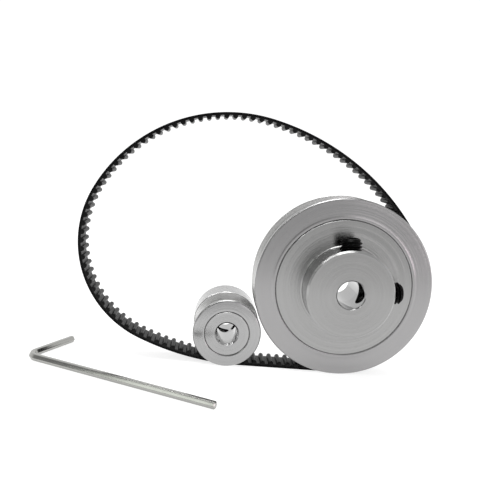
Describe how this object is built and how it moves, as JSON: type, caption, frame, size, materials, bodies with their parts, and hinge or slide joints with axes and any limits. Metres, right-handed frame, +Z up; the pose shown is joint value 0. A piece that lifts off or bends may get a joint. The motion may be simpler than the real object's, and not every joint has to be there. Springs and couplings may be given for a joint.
{
  "type": "timing belt pulley set",
  "caption": "Large and small flanged aluminium timing pulleys with set screws, an endless round-tooth belt looped round them, and a hex key.",
  "frame": {"origin": "on the large pulley's bore axis, midway between its flanges, which is also the belt's middle plane", "axes": "+Z up from the surface that the pulleys' rims, the belt and the key rest on; the bore axes lie along Y and the large hub points to -Y; +X from the small pulley to the large one"},
  "size_m": [0.0916, 0.0397, 0.0587],
  "materials": {
    "large_aluminium": "turned, satin",
    "large_flange": "turned, satin",
    "small_aluminium": "turned, satin",
    "small_flange": "turned, satin",
    "black_screw": "black oxide",
    "belt_back": "smooth ground rubber",
    "belt_cord": "cord bonded in rubber",
    "belt_teeth": "moulded rubber, matt",
    "key_steel": "satin plated"
  },
  "bodies": {
    "belt": {"belt_toothed_layer": "belt_teeth", "belt_tensile_layer": "belt_cord", "belt_backing": "belt_back"},
    "large_pulley": {"large_pulley_body": "large_aluminium", "large_front_flange": "large_flange", "large_rear_flange": "large_flange"},
    "small_pulley": {"small_pulley_body": "small_aluminium", "small_front_flange": "small_flange"},
    "large_screw_top": {"large_set_screw_top": "black_screw"},
    "large_screw_side": {"large_set_screw_side": "black_screw"},
    "small_screw_low": {"small_set_screw_low": "black_screw"},
    "small_screw_side": {"small_set_screw_side": "black_screw"},
    "key": {"hex_key": "key_steel"}
  },
  "joints": [
    {"name": "large_pulley_spin", "type": "hinge", "parent": "belt", "child": "large_pulley", "pos_m": [0, 0, 0], "axis": [0, 1, 0], "continuous": true},
    {"name": "small_pulley_spin", "type": "hinge", "parent": "belt", "child": "small_pulley", "pos_m": [-0.02627, 0, -0.013], "axis": [0, 1, 0], "continuous": true},
    {"name": "large_screw_top_travel", "type": "slide", "parent": "large_pulley", "child": "large_screw_top", "axis": [-0.0523, 0, 0.9986], "range_m": [-0.00115, 0.003]},
    {"name": "large_screw_side_travel", "type": "slide", "parent": "large_pulley", "child": "large_screw_side", "axis": [0.9986, 0, 0.0523], "range_m": [-0.00115, 0.003]},
    {"name": "small_screw_low_travel", "type": "slide", "parent": "small_pulley", "child": "small_screw_low", "axis": [-0.2756, 0, -0.9613], "range_m": [-0.0002, 0.0012]},
    {"name": "small_screw_side_travel", "type": "slide", "parent": "small_pulley", "child": "small_screw_side", "axis": [0.9613, 0, -0.2756], "range_m": [-0.0002, 0.0012]},
    {"name": "key_lift", "type": "slide", "parent": "belt", "child": "key", "axis": [0, 0, 1], "range_m": [0, 0.06]}
  ],
  "couplings": [
    {"joint": "small_pulley_spin", "follows": "large_pulley_spin", "ratio": 3}
  ]
}
